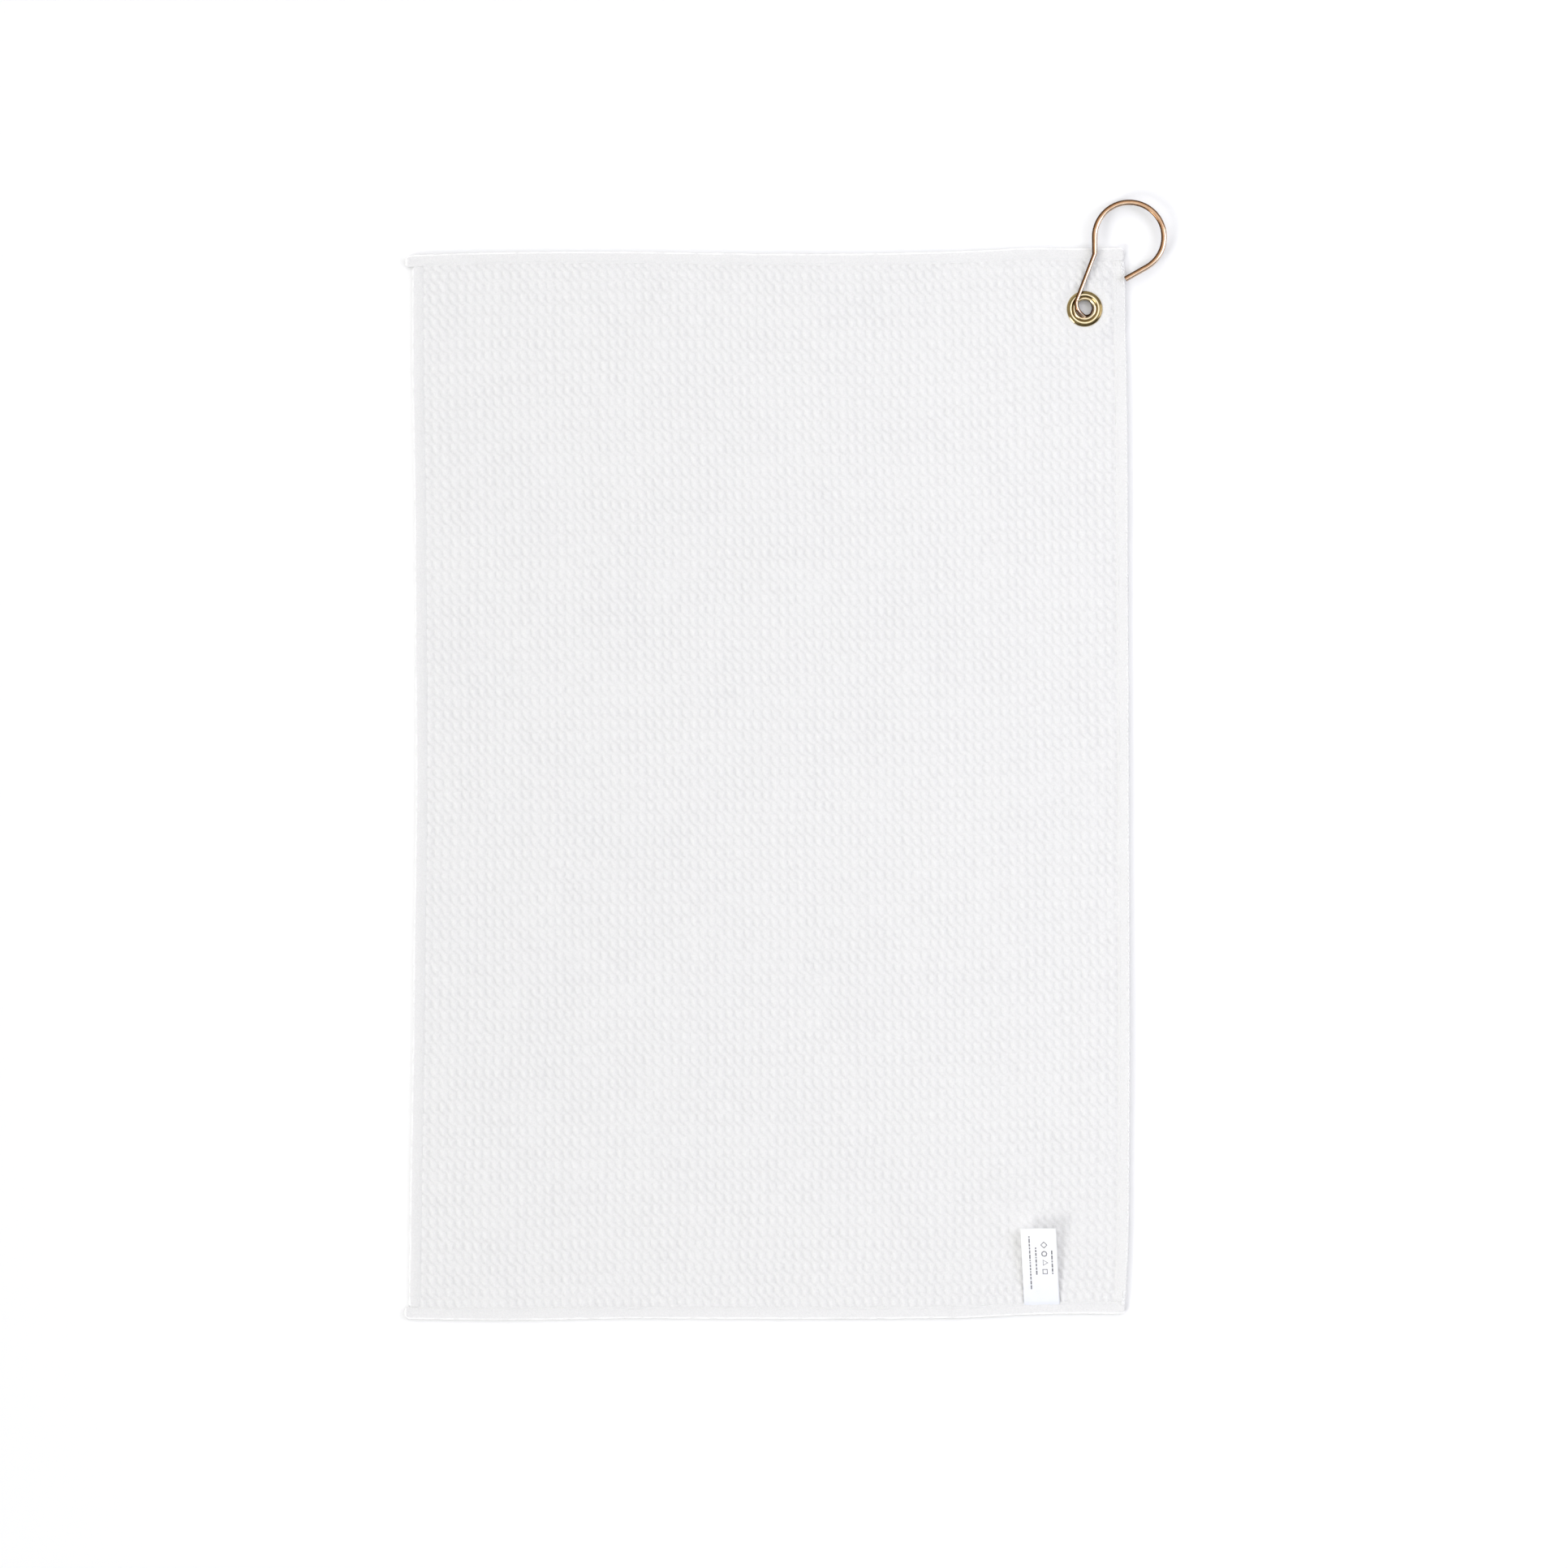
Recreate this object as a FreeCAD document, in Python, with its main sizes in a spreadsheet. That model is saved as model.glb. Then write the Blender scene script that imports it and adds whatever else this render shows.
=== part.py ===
import FreeCAD, Part
import math
import os

# Golf towel: a hemmed waffle-weave cloth, a sewn-in care label, a brass grommet and a wire hook.
# Millimetres, +Z up. The towel lies flat with its hemmed side up, and its centre on the ground
# is the origin. +Y runs to the end that carries the grommet.

DIMENSIONS = (
    ("towel_width", 406.4),          # finished cloth, 16 inches
    ("towel_length", 609.6),         # finished cloth, 24 inches
    ("cloth_thickness", 1.6),
    ("hem_width", 6.4),              # fold, from the towel's edge inwards
    ("hem_thickness", 2.9),          # height of the folded edge
    ("seam_inset", 5.5),             # hem seam, from the towel's edge
    ("edge_seam_inset", 0.8),        # second seam along the right-hand fold
    ("thread_size", 0.4),
    ("tack_length", 8.0),
    ("tack_width", 1.6),
    ("tack_thickness", 0.5),
    ("label_width", 20.4),
    ("label_length", 42.8),          # free part, along the ribbon
    ("label_thickness", 0.35),
    ("label_centre", 156.0),         # from the towel's middle, towards +X
    ("label_lift", 8.5),             # degrees, free end above the cloth
    ("label_lean", 2.5),             # degrees, free end towards -X
    ("tab_length", 4.6),             # label end held under the hem
    ("grommet_from_side", 23.45),
    ("grommet_from_end", 33.04),
    ("grommet_sheet", 0.36),         # brass sheet thickness
    ("washer_radius", 10.1),         # middle of the sheet at the rim
    ("flange_radius", 10.0),
    ("barrel_radius", 5.06),
    ("cloth_hole_radius", 5.95),
    ("clamp_bottom", 3.42),          # clamped cloth, height of its underside
    ("clamp_top", 4.00),             # clamped cloth, height of its upper side
    ("dome_foot_radius", 16.9),      # raised cloth round the grommet, outside
    ("dome_head_radius", 12.4),
    ("hollow_foot_radius", 16.0),    # space for the hook's tail, under the raised cloth
    ("hollow_head_radius", 12.2),
    ("wire_diameter", 2.35),
    ("wire_height", 6.7),            # centre of the wire in front of the towel
    ("tail_height", 1.2),            # centre of the wire behind the towel
    ("loop_radius", 19.8),
    ("loop_to_tip", 13.8),           # straight length before the tip
    ("throat_length", 9.6),          # straight length between the loop and the shank
    ("shank_length", 28.3),
    ("shank_lean", 21.0),            # degrees, from +Y towards -X
    ("eye_radius", 4.4),             # the eye's turn behind the towel
)

# The eye's way down through the grommet, as places on the wire's centre line: each is measured from
# the grommet's middle towards +X and +Y, with its height as a share of the way up from the tail.
EYE_WAY_DOWN = (
    (-4.95, 2.70, 1.0),
    (-4.55, 0.75, 0.973),
    (-3.45, -0.80, 0.864),
    (-1.95, -2.00, 0.664),
    (-0.10, -2.80, 0.418),
    (1.85, -2.85, 0.182),
    (3.60, -2.05, 0.036),
)

doc = FreeCAD.newDocument("golf_towel")
sheet = doc.addObject("Spreadsheet::Sheet", "dimensions")
for row, (alias, value) in enumerate(DIMENSIONS, start=1):
    sheet.set("A" + str(row), alias)
    sheet.set("B" + str(row), str(value))
    sheet.setAlias("B" + str(row), alias)
doc.recompute()


def size(alias):
    """Read one dimension back from the sheet."""
    return float(getattr(sheet, alias))


def vector(x, y, z):
    return FreeCAD.Vector(x, y, z)


def turned(degrees):
    """Rotation about the vertical."""
    return FreeCAD.Rotation(vector(0, 0, 1), degrees)


def primitive(kind, name, expressions, position, rotation=None):
    """Add a Part primitive whose sizes follow the sheet."""
    item = doc.addObject(kind, name)
    for prop, expression in expressions.items():
        item.setExpression(prop, expression.replace("#", "dimensions."))
    item.Placement = FreeCAD.Placement(position, rotation or FreeCAD.Rotation())
    return item


def joined(name, pieces):
    item = doc.addObject("Part::MultiFuse", name)
    item.Shapes = pieces
    item.Refine = True
    return item


def cut(name, base, tool):
    item = doc.addObject("Part::Cut", name)
    item.Base = base
    item.Tool = tool
    item.Refine = True
    return item


def shaped(name, shape, position, rotation=None):
    """Add a free-form solid, for shapes no primitive or sketch feature gives."""
    item = doc.addObject("Part::Feature", name)
    item.Shape = shape
    item.Placement = FreeCAD.Placement(position, rotation or FreeCAD.Rotation())
    return item


HALF_WIDTH = size("towel_width") / 2
HALF_LENGTH = size("towel_length") / 2
GROMMET_X = HALF_WIDTH - size("grommet_from_side")
GROMMET_Y = HALF_LENGTH - size("grommet_from_end")
FOLD_RADIUS = size("hem_thickness") / 2

# Each side of the towel: its name, its first corner, its turn, and whether its hem runs full length.
# In a side's own frame X runs along the edge, Y runs into the towel and the edge is at Y = 0.
SIDES = (
    ("bottom", (-HALF_WIDTH, -HALF_LENGTH), 0, "#towel_width", True),
    ("right", (HALF_WIDTH, -HALF_LENGTH), 90, "#towel_length", False),
    ("top", (HALF_WIDTH, HALF_LENGTH), 180, "#towel_width", True),
    ("left", (-HALF_WIDTH, HALF_LENGTH), -90, "#towel_length", False),
)


def on_side(corner, turn, along, inwards, height):
    """Turn a place in a side's own frame into a placement on the towel."""
    local = turned(turn).multVec(vector(along, inwards, height))
    return local + vector(corner[0], corner[1], 0)


def towel_panel():
    """The cloth inside the folds, raised round the grommet so that the hook's tail fits below."""
    slab = primitive(
        "Part::Box", "panel_slab",
        {"Length": "#towel_width - #hem_thickness", "Width": "#towel_length - #hem_thickness",
         "Height": "#cloth_thickness"},
        vector(FOLD_RADIUS - HALF_WIDTH, FOLD_RADIUS - HALF_LENGTH, 0))
    raised = primitive(
        "Part::Cone", "panel_raised",
        {"Radius1": "#dome_foot_radius", "Radius2": "#dome_head_radius",
         "Height": "#clamp_top - #cloth_thickness"},
        vector(GROMMET_X, GROMMET_Y, size("cloth_thickness")))
    hollow = primitive(
        "Part::Cone", "panel_hollow",
        {"Radius1": "#hollow_foot_radius", "Radius2": "#hollow_head_radius", "Height": "#clamp_bottom"},
        vector(GROMMET_X, GROMMET_Y, 0))
    hole = primitive(
        "Part::Cylinder", "panel_hole",
        {"Radius": "#cloth_hole_radius", "Height": "#clamp_top + 1"},
        vector(GROMMET_X, GROMMET_Y, 0))
    whole = joined("panel_whole", [slab, raised])
    hollowed = cut("panel_hollowed", whole, hollow)
    return [cut("towel_panel", hollowed, hole)]


def hem_fold(name, corner, turn, length, full):
    """One folded edge: a half-round fold and the strip turned back over the cloth."""
    setback = 0 if full else size("hem_width")
    run = length if full else length + " - 2 * #hem_width"
    # the half cylinder's axis runs along the edge, its round side outwards
    outwards = FreeCAD.Rotation(vector(0, 0, 1), vector(0, -1, 0), vector(1, 0, 0), "ZXY")
    fold = primitive(
        "Part::Cylinder", name + "_fold",
        {"Radius": "#hem_thickness / 2", "Height": run},
        vector(0, FOLD_RADIUS, FOLD_RADIUS), outwards)
    fold.Angle = 180
    strip = primitive(
        "Part::Box", name + "_strip",
        {"Length": run, "Width": "#hem_width - #hem_thickness / 2",
         "Height": "#hem_thickness - #cloth_thickness"},
        vector(0, FOLD_RADIUS, size("cloth_thickness")))
    if name == "hem_bottom":
        hem = cut(name, joined(name + "_whole", [fold, strip]), label_slot())
    else:
        hem = joined(name, [fold, strip])
    hem.Placement = FreeCAD.Placement(on_side(corner, turn, setback, 0, 0), turned(turn))
    return hem


def label_slot():
    """Room for the label's sewn end under the bottom hem, in that hem's own frame."""
    return primitive(
        "Part::Box", "label_slot",
        {"Length": "#label_width + 0.4", "Width": "#tab_length + 1", "Height": "#label_thickness + 0.05"},
        vector(HALF_WIDTH + size("label_centre") - size("label_width") / 2 - 0.2,
               size("hem_width") - size("tab_length"), size("cloth_thickness")))


def thread(name, corner, turn, length, setback, inset, height):
    """One sewing thread, as a plain strip along a side."""
    return primitive(
        "Part::Box", name,
        {"Length": length + " - " + str(2 * setback), "Width": "#thread_size", "Height": "#thread_size"},
        on_side(corner, turn, setback, inset - size("thread_size") / 2, height), turned(turn))


def hem_threads(name, corner, turn, length, full):
    """The two threads of one hem seam: one pulled into the hem, one flush with the underside."""
    inset = size("seam_inset")
    setback = inset if full else size("hem_width")
    top = size("hem_thickness") - size("thread_size") / 2
    return [
        thread("thread_upper_" + name, corner, turn, length, setback, inset, top),
        thread("thread_under_" + name, corner, turn, length, setback, inset, 0)]


def edge_thread():
    """The second seam along the right-hand fold, close to its edge."""
    name, corner, turn, length, _ = SIDES[1]
    inset = size("edge_seam_inset")
    across = FOLD_RADIUS - inset
    height = FOLD_RADIUS + math.sqrt(FOLD_RADIUS ** 2 - across ** 2) - size("thread_size") / 2
    setback = size("hem_width") + size("tack_length") + 1
    return [thread("thread_edge_" + name, corner, turn, length, setback, inset, height)]


def corner_tacks():
    """Back-stitched knots where the right-hand seam meets the two end hems."""
    tacks = []
    _, corner, turn, _, _ = SIDES[1]
    far = size("towel_length") - size("hem_width") - size("tack_length") - 0.5
    for name, along in (("bottom_right", size("hem_width") + 0.5), ("top_right", far)):
        place = on_side(corner, turn, along, 0.6, size("hem_thickness") - 0.25)
        tacks.append(primitive(
            "Part::Box", "tack_" + name,
            {"Length": "#tack_length", "Width": "#tack_width", "Height": "#tack_thickness"},
            place, turned(turn)))
    return tacks


def care_label():
    """The ribbon label: its free flap, and the end held under the bottom hem."""
    seam_y = size("hem_width") - HALF_LENGTH
    tab = primitive(
        "Part::Box", "care_label_tab",
        {"Length": "#label_width", "Width": "#tab_length", "Height": "#label_thickness"},
        vector(size("label_centre") - size("label_width") / 2, seam_y - size("tab_length") + 0.1,
               size("cloth_thickness")))
    lift = FreeCAD.Rotation(vector(1, 0, 0), size("label_lift"))
    pose = turned(size("label_lean")).multiply(lift)
    foot = vector(size("label_centre"), seam_y + 1.2, size("cloth_thickness") + 0.25)
    flap = primitive(
        "Part::Box", "care_label",
        {"Length": "#label_width", "Width": "#label_length", "Height": "#label_thickness"},
        foot + pose.multVec(vector(-size("label_width") / 2, 0, 0)), pose)
    return [tab, flap]


def sheet_ring(name, middle):
    """Revolve a formed sheet about the grommet's axis; middle lists the sheet's (radius, height)."""
    curve = Part.BSplineCurve()
    curve.interpolate([vector(radius, 0, height) for radius, height in middle])
    half = size("grommet_sheet") / 2
    steps = 6 * len(middle)
    faces = ([], [])
    for index in range(steps + 1):
        parameter = curve.FirstParameter + (curve.LastParameter - curve.FirstParameter) * index / steps
        point = curve.value(parameter)
        along = curve.tangent(parameter)[0]
        across = vector(-along.z, 0, along.x) * half
        faces[0].append(point + across)
        faces[1].append(point - across)
    edges = []
    for side in faces:
        skin = Part.BSplineCurve()
        skin.interpolate(side)
        edges.append(skin.toShape())
    ends = ((0, curve.FirstParameter, -half), (-1, curve.LastParameter, half))
    for end, parameter, reach in ends:
        tip = curve.value(parameter) + curve.tangent(parameter)[0] * reach
        edges.append(Part.Arc(faces[0][end], tip, faces[1][end]).toShape())
    section = Part.Face(Part.Wire(Part.__sortEdges__(edges)))
    ring = section.revolve(vector(0, 0, 0), vector(0, 0, 1), 360)
    return shaped(name, ring, vector(GROMMET_X, GROMMET_Y, 0))


def grommet():
    """The eyelet, with its flange behind and its barrel rolled over, and the domed washer in front."""
    flange = size("flange_radius")
    barrel = size("barrel_radius")
    rim = size("washer_radius")
    eyelet = sheet_ring("grommet_eyelet", [
        (flange, 3.20), (flange - 0.85, 2.98), (flange - 2.4, 2.87), (flange - 3.8, 3.02),
        (barrel + 0.30, 3.45), (barrel, 4.00), (barrel + 0.05, 4.48), (barrel + 0.32, 4.93),
        (barrel + 0.80, 5.14), (barrel + 1.24, 4.99), (barrel + 1.42, 4.72)])
    washer = sheet_ring("grommet_washer", [
        (barrel + 0.46, 4.29), (barrel + 1.44, 4.31), (barrel + 2.10, 4.72), (rim - 2.15, 5.05),
        (rim - 1.20, 4.95), (rim - 0.40, 4.65), (rim, 4.35)])
    return [eyelet, washer]


def around(centre, radius, degrees, height=0):
    """A point on a level circle."""
    angle = math.radians(degrees)
    return vector(centre.x + radius * math.cos(angle), centre.y + radius * math.sin(angle), height)


def level_arc(centre, radius, first, last, height):
    """An arc on a level circle, from one angle to another."""
    angles = (first, (first + last) / 2, last)
    return Part.Arc(*[around(centre, radius, degrees, height) for degrees in angles]).toShape()


def eye_drop(start, start_way, end, end_way):
    """The part of the eye that passes down through the grommet, level at both its ends."""
    points = [start]
    for x, y, share in EYE_WAY_DOWN:
        points.append(vector(GROMMET_X + x, GROMMET_Y + y, end.z + (start.z - end.z) * share))
    points.append(end)
    rough = Part.BSplineCurve()
    rough.interpolate(Points=points, InitialTangent=start_way, FinalTangent=end_way)
    # evenly spaced points, so that a section can be swept along the curve
    even = Part.BSplineCurve()
    even.interpolate(Points=rough.toShape().discretize(10), InitialTangent=start_way, FinalTangent=end_way)
    return even.toShape()


def hook_wire():
    """One bent wire: tip, open loop, throat, shank, and an eye that passes down through the grommet."""
    front = size("wire_height")
    tail = size("tail_height")
    lean = size("shank_lean")
    shank_foot = vector(GROMMET_X - 4.6, GROMMET_Y + 4.75, front)
    shank_way = around(vector(0, 0, 0), 1, 90 - lean)
    kink = shank_foot + shank_way * size("shank_length")
    loop_left = kink + vector(0, size("throat_length"), 0)
    loop = loop_left + vector(size("loop_radius"), 0, 0)
    loop_end = -60.5
    loop_foot = around(loop, size("loop_radius"), loop_end, front)
    tip = loop_foot + around(vector(0, 0, 0), 1, loop_end - 90) * size("loop_to_tip")

    # the eye is a level turn behind the towel, from the drop's foot to the wire's other end
    eye = vector(GROMMET_X + 1.0, GROMMET_Y + 1.7, 0)
    eye_start = -31
    eye_end = 110
    drop_foot = around(eye, size("eye_radius"), eye_start, tail)
    drop_foot_way = around(vector(0, 0, 0), 1, eye_start + 90)

    bend_radius = 4.0
    trim = bend_radius * math.tan(math.radians(lean / 2))
    bend_top = kink + vector(0, trim, 0)
    bend_foot = kink - shank_way * trim
    bend_centre = bend_top - vector(bend_radius, 0, 0)

    edges = [
        Part.makeLine(tip, loop_foot),
        level_arc(loop, size("loop_radius"), loop_end, 180, front),
        Part.makeLine(loop_left, bend_top),
        level_arc(bend_centre, bend_radius, 0, -lean, front),
        Part.makeLine(bend_foot, shank_foot),
        eye_drop(shank_foot, shank_way * -1, drop_foot, drop_foot_way),
        level_arc(eye, size("eye_radius"), eye_start, eye_end, tail)]
    section = Part.Wire(Part.makeCircle(size("wire_diameter") / 2, tip, loop_foot - tip))
    wire = Part.Wire(edges).makePipeShell([section], True, False)
    return [shaped("hook_wire", wire, vector(0, 0, 0))]


parts = towel_panel()
for side_name, side_corner, side_turn, side_length, side_full in SIDES:
    parts.append(hem_fold("hem_" + side_name, side_corner, side_turn, side_length, side_full))
    parts += hem_threads(side_name, side_corner, side_turn, side_length, side_full)
parts += edge_thread() + corner_tacks() + care_label() + grommet() + hook_wire()

doc.recompute()
for item in doc.Objects:
    if "Invalid" in item.State or "Error" in item.State:
        raise RuntimeError(item.Name + " did not compute")

os.makedirs("parts", exist_ok=True)
for part in parts:
    part.Label = part.Name
    if part.Shape.isNull() or not part.Shape.isValid():
        raise RuntimeError(part.Name + " has no valid shape")
    part.Shape.exportStep("parts/" + part.Name + ".step")
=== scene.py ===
import math

import bpy
import numpy as np
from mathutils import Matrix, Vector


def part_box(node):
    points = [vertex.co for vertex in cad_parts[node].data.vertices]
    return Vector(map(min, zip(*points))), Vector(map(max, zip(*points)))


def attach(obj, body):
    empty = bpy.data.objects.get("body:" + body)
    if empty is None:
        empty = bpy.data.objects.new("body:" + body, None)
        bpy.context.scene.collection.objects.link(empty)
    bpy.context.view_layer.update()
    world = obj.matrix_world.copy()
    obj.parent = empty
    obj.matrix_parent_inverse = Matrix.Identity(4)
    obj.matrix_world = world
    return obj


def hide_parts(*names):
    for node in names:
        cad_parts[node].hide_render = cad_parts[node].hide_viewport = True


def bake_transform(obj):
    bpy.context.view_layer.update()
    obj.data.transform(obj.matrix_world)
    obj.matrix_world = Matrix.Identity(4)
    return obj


# A white waffle-weave golf towel lying flat, hemmed side up, with a ribbon care label, a brass
# grommet and a copper-coloured wire hook. Shapes are worked out in millimetres, and become metres
# when a mesh is made. Materials, lights and the camera are in metres.

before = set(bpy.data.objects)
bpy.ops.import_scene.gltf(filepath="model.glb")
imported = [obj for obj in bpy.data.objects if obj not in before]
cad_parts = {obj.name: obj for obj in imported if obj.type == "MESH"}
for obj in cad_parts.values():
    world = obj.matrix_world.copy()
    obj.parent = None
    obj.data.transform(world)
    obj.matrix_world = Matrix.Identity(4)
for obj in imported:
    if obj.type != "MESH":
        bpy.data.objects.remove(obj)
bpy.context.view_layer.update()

MM = 0.001
HALF_W, HALF_L = 203.2, 304.8            # half the finished cloth
HEM_W = 6.4                              # width of a folded hem
SEAM = 5.5                               # hem seam, from the edge
CELL_X, CELL_Y = 5.04, 6.6               # one waffle cell
CELLS_X, CELLS_Y = 80, 92                # cells across and along the cloth
CLOTH = 1.6                              # thickness without the relief
CLAMPED = 0.56                           # thickness where the grommet squeezes it
DOME = 3.42                              # rise of the cloth round the grommet, over the hook's tail
HOLE = 7.4                               # radius of the hole in the cloth, hidden by the grommet
UPPER_RELIEF, UNDER_RELIEF = 0.56, 0.22  # height of the weave's ridges on each side
RIM_INSET = 1.5                          # where the two sides of the cloth stop, inside the hems
STITCH = 2.6                             # one stitch and its gap
grommet_low, grommet_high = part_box("grommet_washer")
GX = (grommet_low.x + grommet_high.x) / 2 / MM
GY = (grommet_low.y + grommet_high.y) / 2 / MM

# How far each edge strays outwards (+) or inwards (-) from the straight, against the place along it.
STRAY = {
    "left": ((-305, 3.0), (-220, 2.0), (-164, 1.0), (-80, 0.0), (0, -1.0), (87, -0.5), (170, 0.0),
             (226, 0.9), (305, 1.0)),
    "right": ((-305, -0.4), (-290, 0.5), (-265, 1.8), (-220, 2.3), (-20, 2.2), (110, 1.6), (226, 0.8),
              (287, -0.3), (305, -1.2)),
    "top": ((-205, -2.2), (-160, -0.8), (-90, -0.2), (0, -1.4), (24, -1.5), (80, -0.8), (117, 0.3),
            (145, 1.8), (175, 2.4), (205, 2.3)),
    "bottom": ((-205, 0.3), (-143, 1.0), (-87, 0.1), (5, 0.3), (80, 0.0), (117, -0.6), (136, -1.6),
               (155, -2.4), (180, -2.8), (205, -2.6)),
}


# ---------------------------------------------------------------- number helpers

def ease(t):
    """0 to 1, level at both ends."""
    t = np.clip(t, 0.0, 1.0)
    return t * t * (3 - 2 * t)


def smooth_curve(knots, at):
    """A curve through the knots with no corners."""
    xs = np.array([k[0] for k in knots], float)
    ys = np.array([k[1] for k in knots], float)
    slope = np.gradient(ys, xs)
    at = np.clip(np.asarray(at, float), xs[0], xs[-1])
    i = np.clip(np.searchsorted(xs, at) - 1, 0, len(xs) - 2)
    step = xs[i + 1] - xs[i]
    t = (at - xs[i]) / step
    return (ys[i] * (2 * t**3 - 3 * t**2 + 1) + ys[i + 1] * (3 * t**2 - 2 * t**3)
            + slope[i] * step * (t**3 - 2 * t**2 + t) + slope[i + 1] * step * (t**3 - t**2))


def noise(x, y, size, seed):
    """Smooth noise from -1 to 1 with features of about the given size."""
    table = np.random.default_rng(seed).uniform(-1, 1, (64, 64))
    u, v = np.asarray(x) / size + 31.7, np.asarray(y) / size + 17.3
    iu, iv = np.floor(u).astype(int), np.floor(v).astype(int)
    fu, fv = ease(u - iu), ease(v - iv)
    a = table[iv % 64, iu % 64] * (1 - fu) + table[iv % 64, (iu + 1) % 64] * fu
    b = table[(iv + 1) % 64, iu % 64] * (1 - fu) + table[(iv + 1) % 64, (iu + 1) % 64] * fu
    return a * (1 - fv) + b * fv


# ---------------------------------------------------------------- the towel's shape

def placed(x, y):
    """Move a place on the straight-cut towel to where it lies, with the edges' strays and a slight warp."""
    across, along = (x + HALF_W) / (2 * HALF_W), (y + HALF_L) / (2 * HALF_L)
    left, right = -smooth_curve(STRAY["left"], y), smooth_curve(STRAY["right"], y)
    low, high = -smooth_curve(STRAY["bottom"], x), smooth_curve(STRAY["top"], x)
    inner = ease(np.minimum.reduce([HALF_W - abs(x), HALF_L - abs(y)]) / 40)
    px = x + left * (1 - across) + right * across + inner * 0.7 * noise(x, y, 55, 3)
    py = y + low * (1 - along) + high * along + inner * 0.7 * noise(x, y, 60, 4)
    near = ease((np.hypot(x - GX, y - GY) - 14) / 30)
    return x + (px - x) * near, y + (py - y) * near


def lift(x, y):
    """Height of the towel's underside: raised over the hook's tail, and gently rippled elsewhere."""
    r = np.hypot(x - GX, y - GY)
    dome = DOME * (1 - ease((r - 10.6) / 19.5))
    ripple = 0.5 + 0.42 * noise(x, y, 110, 11) + 0.13 * noise(x, y, 42, 12)
    return np.maximum(dome, np.clip(ripple, 0, None) * ease((r - 16) / 26))


def thickness(x, y):
    """Cloth thickness without its relief: squeezed in the grommet."""
    r = np.hypot(x - GX, y - GY)
    return CLAMPED + (CLOTH - CLAMPED) * ease((r - 10.4) / 6.0)


# The waffle's lines inside one cell: start and end as shares of the cell, across and downwards, then
# half-width in mm and strength. Grooves run down and then away to the lower right; a tapering ridge
# comes in from the upper left and ends in a drop.
GROOVES = (
    (0.75, 0.46, 0.78, 0.86, 0.46, 0.85), (0.78, 0.86, 0.91, 1.02, 0.48, 0.95),
    (0.91, 1.02, 1.23, 1.25, 0.38, 0.9), (1.23, 1.25, 1.64, 1.43, 0.36, 0.6))
RIDGES = (
    (0.73, 0.21, 1.00, 0.39, 0.40, 0.6), (1.00, 0.39, 1.21, 0.64, 0.55, 0.75),
    (1.21, 0.64, 1.29, 0.93, 0.65, 0.95), (1.29, 0.93, 1.35, 1.09, 0.32, 0.75),
    (1.44, 0.54, 1.40, 0.79, 0.42, 0.65))


def lines_height(across, down, lines):
    """The strongest of the lines at each point, with each line repeated in the cells around."""
    strongest = np.zeros_like(across)
    for x0, y0, x1, y1, half, strength in lines:
        run_x, run_y = (x1 - x0) * CELL_X, (y1 - y0) * CELL_Y
        for column in (-1, 0, 1, 2):
            for row in (-1, 0, 1):
                dx = (across - x0 + column) * CELL_X
                dy = (down - y0 + row) * CELL_Y
                share = np.clip((dx * run_x + dy * run_y) / (run_x**2 + run_y**2), 0, 1)
                gap = (dx - share * run_x) ** 2 + (dy - share * run_y) ** 2
                strongest = np.maximum(strongest, strength * np.exp(-gap / (2 * half**2)))
    return strongest


def weave(x, y):
    """Waffle relief from about -1 in the grooves to 1 on the ridges."""
    a = x / CELL_X + 0.09 * noise(x, y, 17, 21) + 0.05 * noise(x, y, 4.5, 25)
    b = -y / CELL_Y + 0.07 * noise(x, y, 19, 22) + 0.04 * noise(x, y, 4.5, 26)
    across, down = a - np.floor(a), b - np.floor(b)
    wave = lines_height(across, down, RIDGES) - lines_height(across, down, GROOVES)
    lively = 1 + 0.3 * noise(x, y, 9, 23)
    return wave * lively + 0.26 * noise(x, y, 1.9, 24)


def relief_mask(x, y):
    """1 in the open cloth, 0 under the hems and in the grommet's clamp."""
    inset = np.minimum(HALF_W - abs(x), HALF_L - abs(y))
    r = np.hypot(x - GX, y - GY)
    return ease((inset - HEM_W + 0.6) / 1.8) * ease((r - 10.6) / 5.5)


# ---------------------------------------------------------------- mesh helpers

def make_mesh(name, points, faces, material, smooth=True):
    """A mesh object from points in millimetres and a list of arrays of faces (quads or triangles)."""
    mesh = bpy.data.meshes.new(name)
    points = np.asarray(points, float) * MM
    mesh.vertices.add(len(points))
    mesh.vertices.foreach_set("co", points.astype(np.float32).ravel())
    sizes = np.concatenate([np.full(len(f), f.shape[1], np.int32) for f in faces])
    corners = np.concatenate([np.asarray(f, np.int32).ravel() for f in faces])
    mesh.loops.add(len(corners))
    mesh.loops.foreach_set("vertex_index", corners)
    mesh.polygons.add(len(sizes))
    mesh.polygons.foreach_set("loop_start", np.concatenate([[0], np.cumsum(sizes)[:-1]]).astype(np.int32))
    mesh.polygons.foreach_set("use_smooth", np.full(len(sizes), smooth))
    mesh.update(calc_edges=True)
    mesh.validate()
    mesh.materials.append(material)
    piece = bpy.data.objects.new(name, mesh)
    bpy.context.scene.collection.objects.link(piece)
    return piece


def grid_faces(columns, rows, start=0, flip=False):
    """Quads of a grid whose points run along each row."""
    i = np.arange(rows - 1)[:, None] * columns + np.arange(columns - 1)[None, :] + start
    quads = np.stack([i, i + 1, i + columns + 1, i + columns], axis=-1).reshape(-1, 4)
    return quads[:, ::-1] if flip else quads


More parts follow.
